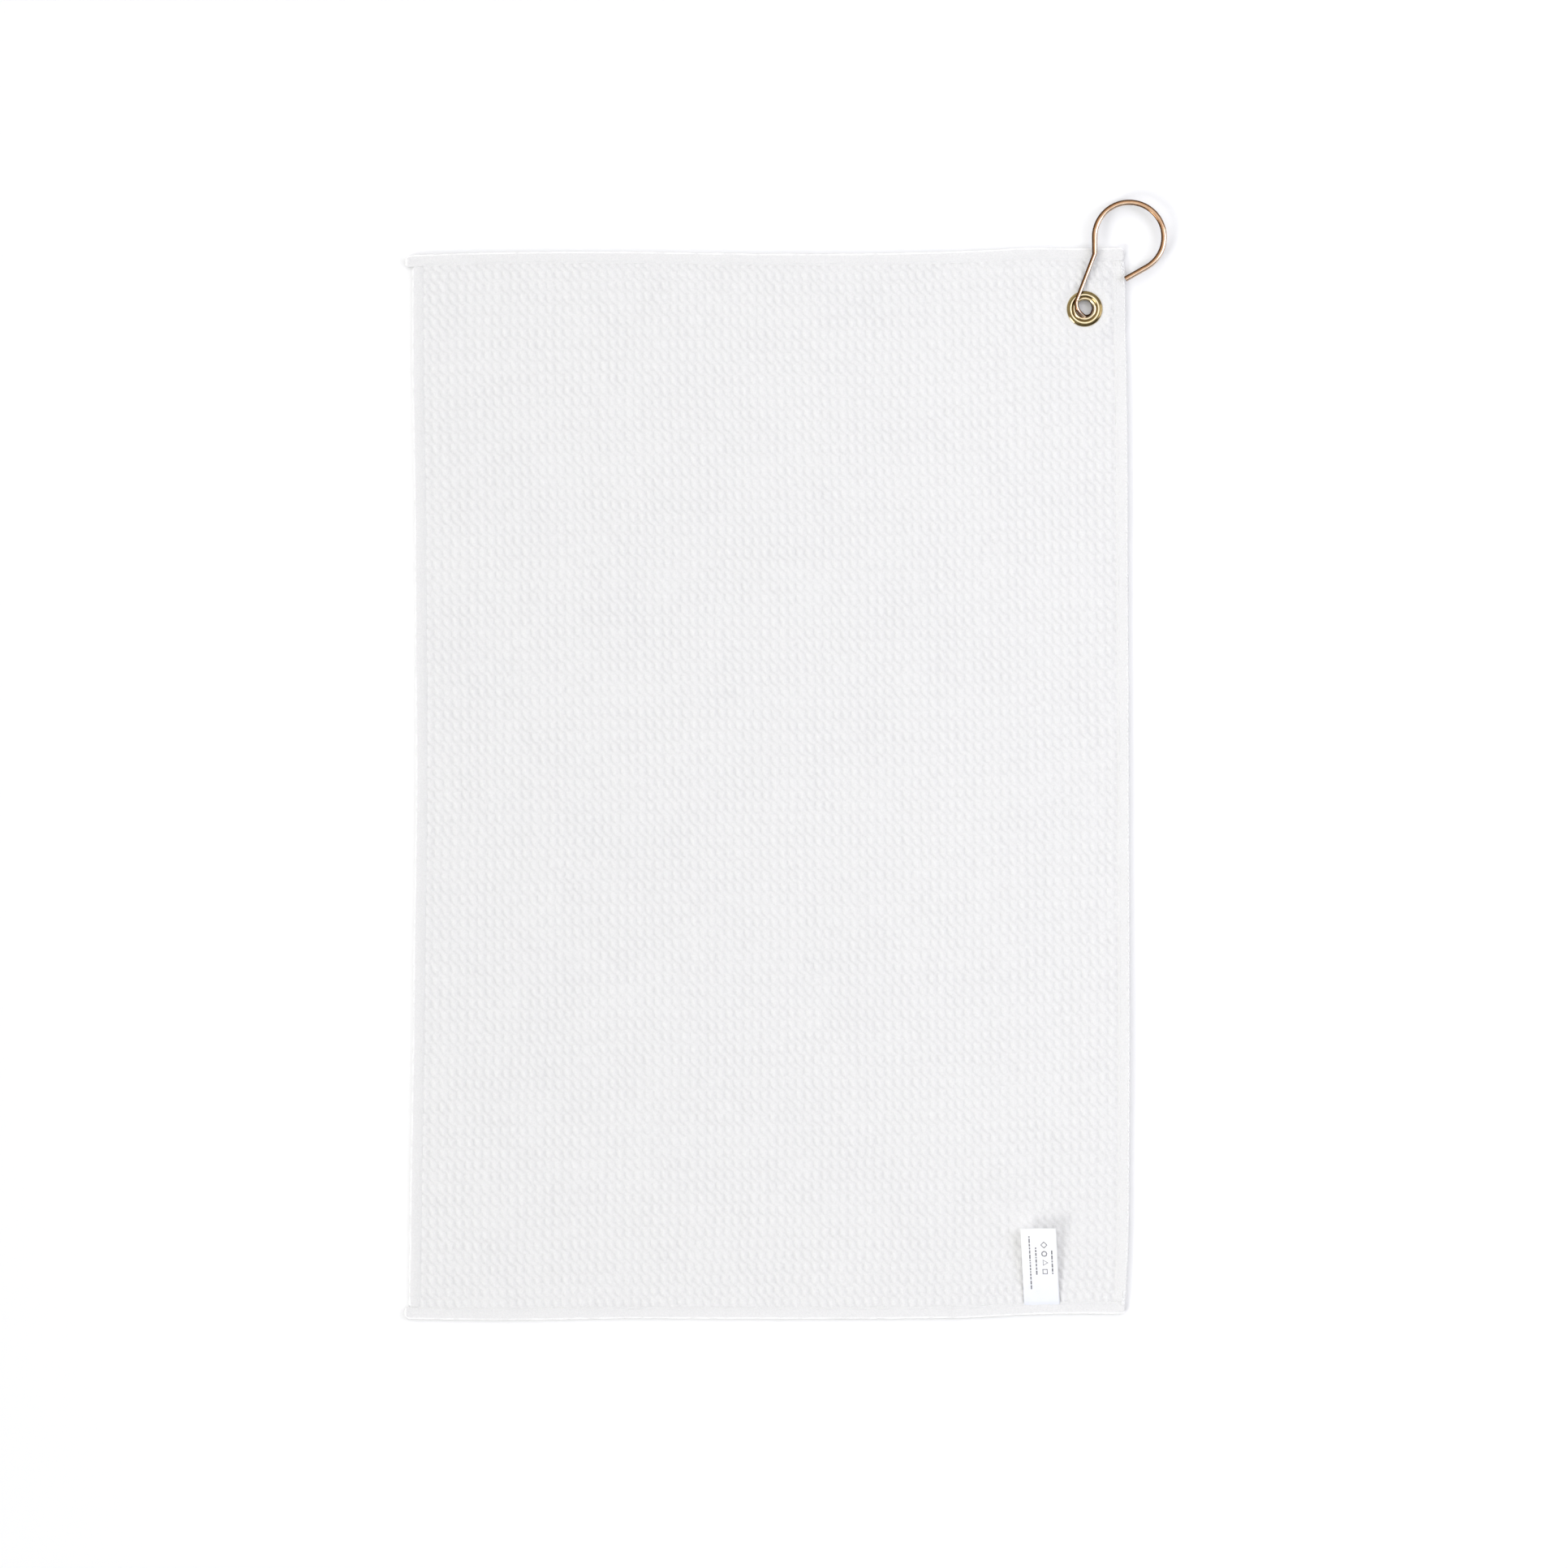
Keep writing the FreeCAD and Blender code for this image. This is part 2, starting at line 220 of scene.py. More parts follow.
def rim_of(columns, rows, start=0):
    """The grid's outer loop, anticlockwise."""
    bottom = np.arange(columns)
    right = np.arange(1, rows) * columns + columns - 1
    top = (rows - 1) * columns + np.arange(columns - 2, -1, -1)
    left = np.arange(rows - 2, 0, -1) * columns
    return np.concatenate([bottom, right, top, left]) + start


def bridge(loop_a, at_a, loop_b, at_b):
    """Triangles between two loops; at_a and at_b are each point's share of the way round."""
    faces = []
    i = j = 0
    count_a, count_b = len(loop_a), len(loop_b)
    while i < count_a or j < count_b:
        next_a = at_a[i + 1] if i + 1 < count_a else (1.0 if i < count_a else 2.0)
        next_b = at_b[j + 1] if j + 1 < count_b else (1.0 if j < count_b else 2.0)
        a, b = loop_a[i % count_a], loop_b[j % count_b]
        if i < count_a and (next_a <= next_b or j >= count_b):
            faces.append((a, b, loop_a[(i + 1) % count_a]))
            i += 1
        else:
            faces.append((a, b, loop_b[(j + 1) % count_b]))
            j += 1
    return np.array(faces, np.int32)


def way_round(points):
    """Each point's share of the length of a closed loop."""
    steps = np.linalg.norm(np.diff(np.vstack([points, points[:1]]), axis=0), axis=1)
    return np.concatenate([[0], np.cumsum(steps)[:-1]]) / steps.sum()


def hole_loop(faces, points):
    """The loop of edges left round a hole in the faces, ordered by angle about the grommet."""
    edges = np.concatenate([faces[:, [k, (k + 1) % 4]] for k in range(4)])
    key = np.sort(edges, axis=1)
    _, first, count = np.unique(key, axis=0, return_index=True, return_counts=True)
    open_points = np.unique(key[first[count == 1]])
    offset = points[open_points, :2] - (GX, GY)
    near = np.hypot(offset[:, 0], offset[:, 1]) < 20
    open_points, offset = open_points[near], offset[near]
    angle = np.arctan2(offset[:, 1], offset[:, 0])
    order = np.argsort(angle)
    return open_points[order], (angle[order] + np.pi) / (2 * np.pi)


def cloth_side(per_cell_x, per_cell_y, upper):
    """Grid points of one side of the cloth, with the waffle relief."""
    xs = np.linspace(RIM_INSET - HALF_W, HALF_W - RIM_INSET, CELLS_X * per_cell_x + 1)
    ys = np.linspace(RIM_INSET - HALF_L, HALF_L - RIM_INSET, CELLS_Y * per_cell_y + 1)
    x, y = np.meshgrid(xs, ys)
    wave = weave(x, y) if upper else -weave(x + 2.1, y + 1.7)
    mask = relief_mask(x, y)
    if upper:
        z = lift(x, y) + thickness(x, y) + mask * (UPPER_RELIEF * wave + 0.36)
    else:
        z = lift(x, y) + np.clip(mask * (UNDER_RELIEF * wave + 0.2), 0, None)
    px, py = placed(x, y)
    # shade: the weave's height, which the material turns into painted shade in the pits and painted highlight
    # on the ridges
    shade = np.where(mask > 0, mask * wave, 0)
    return np.stack([px, py, z], axis=-1).reshape(-1, 3), shade.ravel(), len(xs), len(ys)


def open_hole(faces, points):
    """Drop the faces of the cloth inside its hole for the grommet."""
    middle = points[faces].mean(axis=1)
    return faces[np.hypot(middle[:, 0] - GX, middle[:, 1] - GY) > HOLE]


def build_cloth(material):
    """The towel's cloth: its two sides, joined round the rim and round the hole for the grommet."""
    upper, upper_shade, nx, ny = cloth_side(6, 8, True)
    lower, lower_shade, mx, my = cloth_side(2, 3, False)
    points = np.vstack([upper, lower])
    start = len(upper)
    upper_faces = open_hole(grid_faces(nx, ny), points)
    lower_faces = open_hole(grid_faces(mx, my, start, flip=True), points)
    rim_a, rim_b = rim_of(nx, ny), rim_of(mx, my, start)
    side = bridge(rim_a, way_round(points[rim_a, :2]), rim_b, way_round(points[rim_b, :2]))
    hole_a, at_a = hole_loop(upper_faces, points)
    hole_b, at_b = hole_loop(lower_faces, points)
    wall = bridge(hole_a, at_a, hole_b, at_b)[:, ::-1]
    cloth = make_mesh("towel_cloth", points, [upper_faces, lower_faces, side, wall], material)
    shade = cloth.data.attributes.new("relief", "FLOAT", "POINT")
    shade.data.foreach_set("value", np.concatenate([upper_shade, lower_shade]).astype(np.float32))
    return cloth


# ---------------------------------------------------------------- hems and stitches

# Each side: its first corner, the way it runs, the way into the towel, and where it starts and stops.
SIDES = {
    "bottom": ((-HALF_W, -HALF_L), (1, 0), (0, 1), -2.6, 2 * HALF_W + 0.2),
    "right": ((HALF_W, -HALF_L), (0, 1), (-1, 0), HEM_W + 0.1, 2 * HALF_L - HEM_W - 0.1),
    "top": ((HALF_W, HALF_L), (-1, 0), (0, -1), -0.2, 2 * HALF_W + 4.0),
    "left": ((-HALF_W, HALF_L), (0, -1), (1, 0), HEM_W + 0.1, 2 * HALF_L - HEM_W - 0.1),
}

# The folded hem in section: distance in from the edge, and height. A thin bead runs along the fold.
HEM_SECTION = (
    (1.52, 0.03), (0.95, 0.0), (0.4, 0.12), (0.08, 0.5), (0.0, 1.1), (0.0, 1.75), (0.04, 2.3),
    (0.14, 2.62), (0.34, 2.74), (0.52, 2.7), (0.68, 2.6), (1.1, 2.57), (2.0, 2.6), (3.2, 2.56),
    (4.2, 2.44), (4.9, 2.3), (5.3, 2.19), (5.5, 2.15), (5.75, 2.12), (6.1, 2.04), (6.5, 1.93),
    (6.8, 1.8), (6.75, 1.62), (4.2, 1.6), (1.55, 1.6))
FOLD_HIGHLIGHT_WIDTH = 0.7                           # width of the painted highlight along the fold's edge
HEM_STEP = 0.66                           # distance between the sections along a hem


def on_side(side, along, inset):
    """Place on the straight-cut towel of a point along a side and in from its edge."""
    corner, run, inwards, _, _ = SIDES[side]
    x = corner[0] + run[0] * along + inwards[0] * inset
    y = corner[1] + run[1] * along + inwards[1] * inset
    return x, y


def laid(side, along, inset, height):
    """Final points of a part of a side: strayed with the edge and lifted with the cloth."""
    x, y = on_side(side, along, inset)
    px, py = placed(x, y)
    return np.stack([px, py, lift(x, y) + height], axis=-1)


def build_hem(side, material):
    """One folded hem: its section laid along the side, with small swells and a dent at each stitch."""
    _, _, _, first, last = SIDES[side]
    count = int((last - first) / HEM_STEP)
    along = np.linspace(first, last, count)
    section = np.array(HEM_SECTION)
    s, inset = np.meshgrid(along, section[:, 0], indexing="ij")
    height = np.broadcast_to(section[:, 1], s.shape).copy()
    # the fold's own small swells, and the pull of each stitch
    seed = 40 + list(SIDES).index(side)
    swell = noise(s, s * 0, 9, seed)
    top = ease((height - 1.7) / 0.5)
    height += top * (0.10 * swell + 0.10 * noise(s, inset * 2, 2.4, seed + 10))
    pull = np.exp(-((inset - SEAM) / 0.55) ** 2) * top
    height -= pull * 0.07 * (0.5 + 0.5 * np.cos(2 * np.pi * s / STITCH))
    ear_end = last - s if side == "top" else s - first
    has_ear = side in ("top", "bottom")
    # painted highlight along the fold's outer edge and round the ears' ends, patchy, and not on the
    # right-hand hem
    lip = (inset < FOLD_HIGHLIGHT_WIDTH) | (has_ear & (ear_end < FOLD_HIGHLIGHT_WIDTH + 0.2))
    patchy = np.clip(0.75 + 0.5 * noise(s, s * 0, 3.2, seed + 40), 0, 1)
    painted_fold_highlight = np.where(lip & (height > 1.5) & (side != "right"), patchy, 0.0)
    outer = ease((1.2 - inset) / 1.2)
    inset = inset - outer * (0.16 * noise(s, s * 0, 4.5, seed + 20) + 0.1)
    inner = ease((inset - 5.6) / 0.8)
    inset = inset + inner * 0.22 * noise(s, s * 0, 5.5, seed + 30)
    # the ends close down to a rounded edge
    end = np.minimum(s - first, last - s)
    close = ease(end / 1.1)
    height = 1.45 + (height - 1.45) * (0.35 + 0.65 * close)
    inset = inset + (3.3 - inset) * 0.35 * (1 - ease(end / 1.8))
    if has_ear:
        ear = ease((s - (2 * HALF_W - 0.5)) / 4.0) if side == "top" else ease((0.5 - s) / 3.0)
        inset = inset + ear * ((3.4 - inset) * 0.10 + 0.5)
        height = height + ear * 0.25 * np.sin(np.pi * np.clip(inset / HEM_W, 0, 1))
    points = laid(side, s, inset, height).reshape(-1, 3)
    ring = len(section)
    i = np.arange(count - 1)[:, None] * ring + np.arange(ring)[None, :]
    j = np.arange(count - 1)[:, None] * ring + (np.arange(ring)[None, :] + 1) % ring
    faces = np.stack([i, j, j + ring, i + ring], axis=-1).reshape(-1, 4)
    caps = []
    for k, order in ((0, -1), (count - 1, 1)):
        middle = len(points)
        points = np.vstack([points, points[k * ring:(k + 1) * ring].mean(axis=0)])
        rim = np.arange(ring) + k * ring
        caps.append(np.stack([rim, np.roll(rim, -1), np.full(ring, middle)], axis=-1)[:, ::order])
    hem = make_mesh("hem_cloth_" + side, points, [faces] + caps, material)
    # the relief attribute here carries the painted highlight along the fold
    shade = hem.data.attributes.new("relief", "FLOAT", "POINT")
    shade.data.foreach_set("value", np.append(painted_fold_highlight.ravel(), (0, 0)).astype(np.float32))
    return hem


def tube_faces(rings, sides, start):
    """Faces of a closed tube whose rings are listed in turn, with a point at each end."""
    i = np.arange(rings - 1)[:, None] * sides + np.arange(sides)[None, :] + start
    j = np.arange(rings - 1)[:, None] * sides + (np.arange(sides)[None, :] + 1) % sides + start
    body = np.stack([i, j, j + sides, i + sides], axis=-1).reshape(-1, 4)
    first = start + rings * sides
    rim = np.arange(sides) + start
    last_rim = rim + (rings - 1) * sides
    caps = [np.stack([np.roll(rim, -1), rim, np.full(sides, first)], axis=-1),
            np.stack([last_rim, np.roll(last_rim, -1), np.full(sides, first + 1)], axis=-1)]
    return body, caps


def bars(name, ends, radius, arch, material):
    """Short stitches, each a bar that arches over the cloth and dives in at both ends."""
    points, quads, tris = [], [], []
    shares = np.array([0.0, 0.1, 0.28, 0.5, 0.72, 0.9, 1.0])
    rise = np.array([-1.0, -0.15, 0.75, 1.0, 0.75, -0.15, -1.0]) * arch
    fat = np.array([0.55, 0.9, 1.0, 1.04, 1.0, 0.9, 0.55]) * radius
    turn = np.arange(8) * 2 * np.pi / 8
    start = 0
    for first, last in ends:
        first, last = np.asarray(first), np.asarray(last)
        way = (last - first) / np.linalg.norm(last - first)
        side = np.cross((0, 0, 1.0), way)
        side /= np.linalg.norm(side)
        up = np.cross(way, side)
        line = first + (last - first) * shares[:, None] + up * rise[:, None]
        ring = (np.cos(turn)[None, :, None] * side + np.sin(turn)[None, :, None] * up) * fat[:, None, None]
        points.append((line[:, None, :] + ring).reshape(-1, 3))
        points.append(np.stack([line[0] - way * radius * 0.4, line[-1] + way * radius * 0.4]))
        body, caps = tube_faces(len(shares), 8, start)
        quads.append(body)
        tris += caps
        start += len(shares) * 8 + 2
    return make_mesh(name, np.vstack(points), [np.vstack(quads), np.vstack(tris)], material)


def seam_ends(side, inset, height, first, last, gap, seed):
    """Where each stitch of a seam starts and stops."""
    count = int((last - first) / STITCH)
    at = first + np.arange(count + 1) * STITCH
    wander = 0.09 * noise(at, at * 0, 6, seed)
    a = laid(side, at[:-1] + gap / 2, inset + wander[:-1], height)
    b = laid(side, at[1:] - gap / 2, inset + wander[1:], height)
    return list(zip(a, b))


def build_seams(material, edge_material):
    """Each hem seam's upper and under threads, and the second seam along the right-hand fold."""
    seams = []
    for number, side in enumerate(SIDES):
        first = SEAM if side in ("top", "bottom") else HEM_W + 0.4
        whole = 2 * HALF_W if side in ("top", "bottom") else 2 * HALF_L
        upper = seam_ends(side, SEAM, 2.16, first, whole - first, 0.6, 70 + number)
        under = seam_ends(side, SEAM, 0.24, first, whole - first, 0.5, 80 + number)
        piece = bars("stitches_upper_" + side, upper, 0.17, 0.08, material)
        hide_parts("thread_upper_" + side)
        seams.append(piece)
        piece = bars("stitches_under_" + side, under, 0.2, -0.06, material)
        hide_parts("thread_under_" + side)
        seams.append(piece)
    edge = seam_ends("right", 0.8, 2.74, 15.0, 2 * HALF_L - 15.0, 0.85, 90)
    piece = bars("stitches_edge_right", edge, 0.36, 0.16, edge_material)
    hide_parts("thread_edge_right")
    seams.append(piece)
    return seams


def build_tack(name, node, first, length, seed, material):
    """A knot of back-stitching: many short stitches crossing one another."""
    draw = np.random.default_rng(seed)
    ends = []
    for index in range(16):
        along = first + length * (index + 0.5) / 16 + draw.uniform(-0.3, 0.3)
        reach = draw.uniform(0.9, 1.5)
        slope = draw.uniform(-0.9, 0.9)
        inset = 1.35 + draw.uniform(-0.35, 0.35)
        height = 2.72 + 0.22 * (index % 3) / 2
        a = laid("right", np.array([along - slope]), np.array([inset - reach / 2]), height)[0]
        b = laid("right", np.array([along + slope]), np.array([inset + reach / 2]), height)[0]
        ends.append((a, b))
    for index in range(3):
        at = 0.7 + 0.75 * index
        for step in range(3):
            s = first + length * step / 3
            a = laid("right", np.array([s + 0.2]), np.array([at]), 2.8)[0]
            b = laid("right", np.array([s + length / 3]), np.array([at]), 2.8)[0]
            ends.append((a, b))
    piece = bars(name, ends, 0.24, 0.12, material)
    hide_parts(node)
    return piece


# ---------------------------------------------------------------- the care label

LABEL_X, LABEL_W, LABEL_L, LABEL_T = 155.4, 20.4, 48.8, 0.26
LABEL_HIDDEN = 4.4                        # length caught under the hem
LABEL_RISE = 6.2                          # height of the free end above the sewn end
LABEL_LEAN = math.radians(3.2)
LABEL_GROUND = 0.45                       # least height of the cloth's underside below it


def label_point(u, v, above):
    """A point of the ribbon: u across it (-0.5 to 0.5), v mm from its hidden end, above its middle."""
    free = np.clip(v - LABEL_HIDDEN, 0, None)
    share = free / (LABEL_L - LABEL_HIDDEN)
    rise = LABEL_RISE * share ** 1.15
    slope = LABEL_RISE * 1.15 * share ** 0.15 / (LABEL_L - LABEL_HIDDEN)
    flat = free - 0.5 * 0.022 * free * share
    cup = 0.55 * share * (4 * u * u - 0.3) + 0.35 * share * u
    x = LABEL_X + u * LABEL_W - np.sin(LABEL_LEAN) * flat
    y = -HALF_L + 8.2 - LABEL_HIDDEN + np.minimum(v, LABEL_HIDDEN) + np.cos(LABEL_LEAN) * flat
    tuck = ease((LABEL_HIDDEN + 1.6 - v) / 2.4)
    base = 2.45 - 0.62 * tuck
    lean = np.arctan(slope) * (free > 0)
    z = np.maximum(lift(x, y), LABEL_GROUND) + base + 0.3 * (1 - tuck) + rise + cup + above * np.cos(lean)
    return np.stack([x, y - above * np.sin(lean), z], axis=-1)


def build_label(material):
    """The ribbon: its two curved sides and the narrow wall between them."""
    nu, nv = 25, 61
    u, v = np.meshgrid(np.linspace(-0.5, 0.5, nu), np.linspace(0, LABEL_L, nv))
    upper = label_point(u, v, LABEL_T / 2).reshape(-1, 3)
    lower = label_point(u, v, -LABEL_T / 2).reshape(-1, 3)
    start = len(upper)
    rim = rim_of(nu, nv)
    wall = np.stack([rim, rim + start, np.roll(rim, -1) + start, np.roll(rim, -1)], axis=-1)
    faces = [grid_faces(nu, nv), grid_faces(nu, nv, start, flip=True), wall]
    label = make_mesh("care_label_ribbon", np.vstack([upper, lower]), faces, material)
    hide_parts("care_label", "care_label_tab")
    return label


def mark_patch(corners):
    """A thin plate on the ribbon between four corners (u, v), as points and faces."""
    a, b, c, d = [np.array(corner, float) for corner in corners]
    across, along = np.linspace(0, 1, 3), np.linspace(0, 1, 4)
    points = []
    for above in (LABEL_T / 2 + 0.03, LABEL_T / 2 - 0.04):
        for t in along:
            row = (a + (d - a) * t) * (1 - across[:, None]) + (b + (c - b) * t) * across[:, None]
            points.append(label_point(row[:, 0], row[:, 1], above))
    rim, count = rim_of(3, 4), 3 * 4
    wall = np.stack([rim, rim + count, np.roll(rim, -1) + count, np.roll(rim, -1)], axis=-1)
    return np.vstack(points), np.vstack([grid_faces(3, 4), grid_faces(3, 4, count, flip=True), wall])


def mark_outline(centre_u, centre_v, radius, sides, turn):
    """Corners of the strokes of a small regular shape drawn round a centre."""
    angles = turn + np.arange(sides + 1) * 2 * math.pi / sides
    strokes = []
    for first, last in zip(angles[:-1], angles[1:]):
        corners = []
        for angle, reach in ((first, radius), (last, radius), (last, radius - 0.6), (first, radius - 0.6)):
            corners.append((centre_u + reach * math.cos(angle) / LABEL_W, centre_v + reach * math.sin(angle)))
        strokes.append(corners)
    return strokes


def build_marks(material):
    """Plain grey marks in place of the print: broken lines for text and simple outlines for signs."""
    strokes = []
    draw = np.random.default_rng(5)
    for column, low, high, tall in ((-0.27, 13.2, 44.2, 0.75), (-0.10, 21.6, 37.6, 0.8),
                                    (0.345, 22.0, 36.4, 0.8)):
        v = low
        half = tall / 2 / LABEL_W
        while v < high - 0.6:
            word = min(draw.uniform(0.7, 2.6), high - v)
            strokes.append(((column - half, v), (column + half, v),
                            (column + half, v + word), (column - half, v + word)))
            v += word + 0.55
    for index, (sides, turn) in enumerate(((4, 0.25), (3, 0.0), (12, 0.0), (4, 0.0))):
        radius = 1.7 if sides == 12 else 2.05
        strokes += mark_outline(0.135, 23.4 + 5.2 * index, radius, sides, turn * math.pi)
    points, faces, start = [], [], 0
    for corners in strokes:
        patch_points, patch_faces = mark_patch(corners)
        points.append(patch_points)
        faces.append(patch_faces + start)
        start += len(patch_points)
    return make_mesh("care_label_marks", np.vstack(points), [np.vstack(faces)], material, smooth=False)


# ---------------------------------------------------------------- the hook

WIRE = 2.35                               # diameter before pressing
LOOP_RADIUS = 19.8                        # middle of the wire
LOOP_END = math.radians(-60.5)            # where the loop gives way to its straight tip
SHANK_LEAN = math.radians(21)
PRESSED_WIDE, PRESSED_THIN = 1.32, 0.86   # width and thickness of the wire round the loop
SHANK_WIDE = 0.88


def press(points, start, run, length, wide):
    """Widen or narrow the wire across a straight stretch, in place; eased at the stretch's start and end."""
    side = np.array((-run[1], run[0]))
    offset = points[:, :2] - start
    along, across = offset @ run, offset @ side
    share = ease(along / 5) * ease((length - along) / 7)
    share = np.where((abs(across) < WIRE) & (points[:, 2] > points[:, 2].max() - 1.6 * WIRE), share, 0)
    points[:, :2] += side * (across * (wide - 1) * share)[:, None]


def build_hook(material):
    """The hook's wire, pressed wider and thinner round its open loop and drawn narrower down its shank."""
    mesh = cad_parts["hook_wire"].data.copy()
    mesh.name = "hook_copper_wire"
    points = np.empty(len(mesh.vertices) * 3, np.float32)
    mesh.vertices.foreach_get("co", points)
    points = points.reshape(-1, 3).astype(float) / MM
    centre = points.max(axis=0)[:2] - (LOOP_RADIUS + WIRE / 2)
    level = points[:, 2].max() - WIRE / 2
    # about where the straight below the loop's left side gives way to the shank
    foot = centre + (-LOOP_RADIUS, -10.0)
    down = np.array((-math.sin(SHANK_LEAN), -math.cos(SHANK_LEAN)))
    press(points, foot - down * 1.0, down, 21.0, SHANK_WIDE)
    offset = points[:, :2] - centre
    reach, angle = np.hypot(offset[:, 0], offset[:, 1]), np.arctan2(offset[:, 1], offset[:, 0])
    out = np.array((math.cos(LOOP_END), math.sin(LOOP_END)))
    past_end = offset @ np.array((out[1], -out[0])) > 0
    # known fault: this takes in most of the eye too, and shifts it towards -Y by up to 2.2 mm
    on_tip = past_end & (angle < LOOP_END) & (angle > LOOP_END - 1.2) & (offset @ out > LOOP_RADIUS - WIRE)
    on_left = (offset[:, 1] < 0) & (offset[:, 0] < -10)
    share = np.where(on_left, ease((offset[:, 1] + 11.5) / 5), 1.0)
    on_arc = ~on_tip & ~on_left & (abs(reach - LOOP_RADIUS) < WIRE) & (angle > LOOP_END - 0.05)
    gain = PRESSED_WIDE - 1
    shift = np.zeros((len(points), 2))
    shift[on_arc] = (offset * ((reach - LOOP_RADIUS) / reach)[:, None])[on_arc] * gain
    shift[on_tip] = (out * (offset @ out - LOOP_RADIUS)[:, None])[on_tip] * gain
    shift[on_left, 0] = ((offset[:, 0] + LOOP_RADIUS) * share)[on_left] * gain
    points[:, :2] += shift
    flat = (on_arc | on_tip | on_left) * share * (1 - PRESSED_THIN)
    points[:, 2] -= (points[:, 2] - level) * flat
    mesh.vertices.foreach_set("co", (points * MM).astype(np.float32).ravel())
    mesh.update()
    mesh.materials.clear()
    mesh.materials.append(material)
    hook = bpy.data.objects.new("hook_copper_wire", mesh)
    bpy.context.scene.collection.objects.link(hook)
    return hook


# ---------------------------------------------------------------- materials

NOISE, WAVE = "ShaderNodeTexNoise", "ShaderNodeTexWave"


def new_material(name):
    """A new material, its nodes, its links and its shader."""
    material = bpy.data.materials.new(name)
    material.use_nodes = True
    nodes, links = material.node_tree.nodes, material.node_tree.links
    return material, nodes, links, nodes["Principled BSDF"]


def node(nodes, kind, **values):
    """A new node, with its sockets or settings given by name."""
    made = nodes.new(kind)
    for key, value in values.items():
        if key in made.inputs:
            made.inputs[key].default_value = value
        else:
            setattr(made, key, value)
    return made


def ramp(nodes, links, source, stops):
    """The colour that a value picks between stops, each a place and a colour."""
    made = nodes.new("ShaderNodeValToRGB")
    while len(made.color_ramp.elements) < len(stops):
        made.color_ramp.elements.new(0.5)
    for element, (place, color) in zip(made.color_ramp.elements, stops):
        element.position = place
        element.color = (*color, 1)
    links.new(source, made.inputs["Fac"])
    return made.outputs["Color"]


def remap(nodes, links, source, old_range, new_range=(0.0, 1.0)):
    """A value moved from one range to another, and held at its ends."""
    made = nodes.new("ShaderNodeMapRange")
    for socket, value in zip(("From Min", "From Max", "To Min", "To Max"), (*old_range, *new_range)):
        made.inputs[socket].default_value = value
    links.new(source, made.inputs["Value"])
    return made.outputs["Result"]


def multiply_colors(nodes, links, first, second):
    """One colour darkened by another."""
    mixed = node(nodes, "ShaderNodeMix", data_type="RGBA", blend_type="MULTIPLY")
    mixed.inputs["Factor"].default_value = 1.0
    links.new(first, mixed.inputs[6])
    links.new(second, mixed.inputs[7])
    return mixed.outputs[2]


def object_space(nodes, links, scale=(1, 1, 1)):
    """The piece's own coordinates, scaled; pieces sit at the origin, so these are the frame's metres."""
    where = nodes.new("ShaderNodeTexCoord")
    mapping = node(nodes, "ShaderNodeMapping", Scale=scale)
    links.new(where.outputs["Object"], mapping.inputs["Vector"])
    return mapping.outputs["Vector"]


def pattern(nodes, links, space, kind, **values):
    """The value of a noise or wave laid out in a space."""
    texture = node(nodes, kind, **values)
    links.new(space, texture.inputs["Vector"])
    return texture.outputs["Fac"]


def stack_bumps(nodes, links, shader, layers):
    """Chain bump nodes: each layer is (height socket, strength, distance in metres)."""
    normal = None
    for height, strength, distance in layers:
        bump = node(nodes, "ShaderNodeBump", Strength=strength, Distance=distance)
        links.new(height, bump.inputs["Height"])
        if normal is not None:
            links.new(normal, bump.inputs["Normal"])
        normal = bump.outputs["Normal"]
    links.new(normal, shader.inputs["Normal"])


def cloth_material(name, color, pit_shade, crest_highlight, fuzz):
    """White microfibre: short fibres over fine threads, with painted shade where the relief attribute is low,
    in the pits of the weave, and painted highlight where it is high, on its crests and along a hem's fold.
    """
    material, nodes, links, shader = new_material(name)
    shader.inputs["Sheen Weight"].default_value = 0.12
    shader.inputs["Sheen Roughness"].default_value = 0.6
    shader.inputs["Specular IOR Level"].default_value = 0.12
    space = object_space(nodes, links)
    fibres = pattern(nodes, links, space, NOISE, Scale=2600.0, Detail=5.0, Roughness=0.68)
    tufts = pattern(nodes, links, space, NOISE, Scale=1050.0, Detail=3.0, Roughness=0.6)
    clouds = pattern(nodes, links, space, NOISE, Scale=14.0, Detail=3.0, Roughness=0.55)
    threads = node(nodes, "ShaderNodeMath", operation="MAXIMUM")
    for index, direction in enumerate("XY"):
        run = pattern(nodes, links, space, WAVE, Scale=560.0, Distortion=1.4, Detail=1.0,
                      bands_direction=direction)
        links.new(run, threads.inputs[index])
    relief = node(nodes, "ShaderNodeAttribute", attribute_name="relief")
    depth = remap(nodes, links, relief.outputs["Fac"], (-1.0, 1.0))
    # painted shade in the pits and painted highlight on the crests, from the relief attribute; the rest is
    # the cloth's own colour
    tone = ramp(nodes, links, depth, (
        (0.0, [c * (1 - pit_shade) for c in color]), (0.5, color), (0.95, [c * (1 + crest_highlight) for c in color])))
    speck = ramp(nodes, links, tufts, ((0.32, (0.935, 0.935, 0.94)), (0.66, (1.0, 1.0, 1.0))))
    cast = ramp(nodes, links, clouds, ((0.35, (0.992, 0.992, 0.994)), (0.65, (1.0, 1.0, 1.0))))
    specked = multiply_colors(nodes, links, tone, speck)
    links.new(multiply_colors(nodes, links, specked, cast), shader.inputs["Base Color"])
    links.new(remap(nodes, links, fibres, (0.0, 1.0), (0.86, 1.0)), shader.inputs["Roughness"])
    stack_bumps(nodes, links, shader, [
        (tufts, 0.9 * fuzz, 0.0005), (threads.outputs["Value"], 0.25 * fuzz, 0.00012),
        (fibres, 0.55 * fuzz, 0.00016)])
    return material


